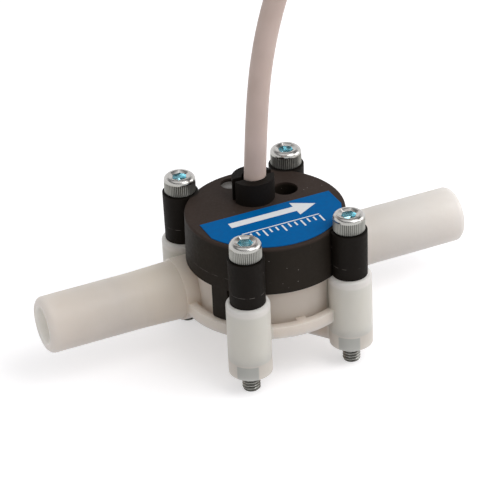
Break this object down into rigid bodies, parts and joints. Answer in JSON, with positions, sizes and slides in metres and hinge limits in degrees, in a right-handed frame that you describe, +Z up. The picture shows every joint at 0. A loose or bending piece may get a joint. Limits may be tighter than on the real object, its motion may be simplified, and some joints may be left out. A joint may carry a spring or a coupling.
{
  "type": "turbine flow meter",
  "caption": "Small moulded turbine flow meter with in-line tube stubs, a black sensor cap clamped by long cap screws, a paddle rotor inside and a free signal cable.",
  "frame": {"origin": "on the chamber's axis, at the plane of the screw tips that the meter stands on", "axes": "+X along the tube stubs towards the outlet, +Z up to the cap and cable, -Y the label's side"},
  "size_m": [0.1769, 0.066, 0.1103],
  "materials": {
    "body_plastic": "moulded natural acetal, slightly translucent, satin",
    "nozzle_plastic": "moulded, satin",
    "rotor_plastic": "moulded, satin",
    "shaft_steel": "ground",
    "magnet": "nickel plated",
    "jewel": "polished bearing jewel",
    "cover_plastic": "moulded, satin",
    "seal_rubber": "smooth",
    "cap_plastic": "moulded black, satin",
    "board": "solder-masked laminate",
    "chip_case": "moulded epoxy",
    "core_insulation": "soft insulation",
    "potting_resin": "cast grey resin",
    "label_print": "printed film",
    "cable_jacket": "soft grey jacket",
    "screw_zinc": "zinc plated, knurled head",
    "nut_steel": "plain steel"
  },
  "bodies": {
    "meter": {"meter_body": "body_plastic", "inlet_nozzle": "nozzle_plastic", "lower_jewel": "jewel", "upper_jewel": "jewel", "chamber_cover": "cover_plastic", "cover_seal": "seal_rubber", "sensor_cap": "cap_plastic", "sensor_board": "board", "hall_sensor": "chip_case", "board_chips": "chip_case", "sensor_leads": "core_insulation", "potting": "potting_resin", "label": "label_print", "cable_run": "cable_jacket", "cable_coil": "cable_jacket", "cable_cores": "core_insulation", "screw_front_left": "screw_zinc", "nut_front_left": "nut_steel", "screw_front_right": "screw_zinc", "nut_front_right": "nut_steel", "screw_rear_left": "screw_zinc", "nut_rear_left": "nut_steel", "screw_rear_right": "screw_zinc", "nut_rear_right": "nut_steel"},
    "rotor": {"rotor": "rotor_plastic", "rotor_shaft": "shaft_steel", "rotor_magnets": "magnet"}
  },
  "joints": [
    {"name": "rotor_spin", "type": "hinge", "parent": "meter", "child": "rotor", "pos_m": [0, 0, 0.01465], "axis": [0, 0, 1], "continuous": true}
  ]
}
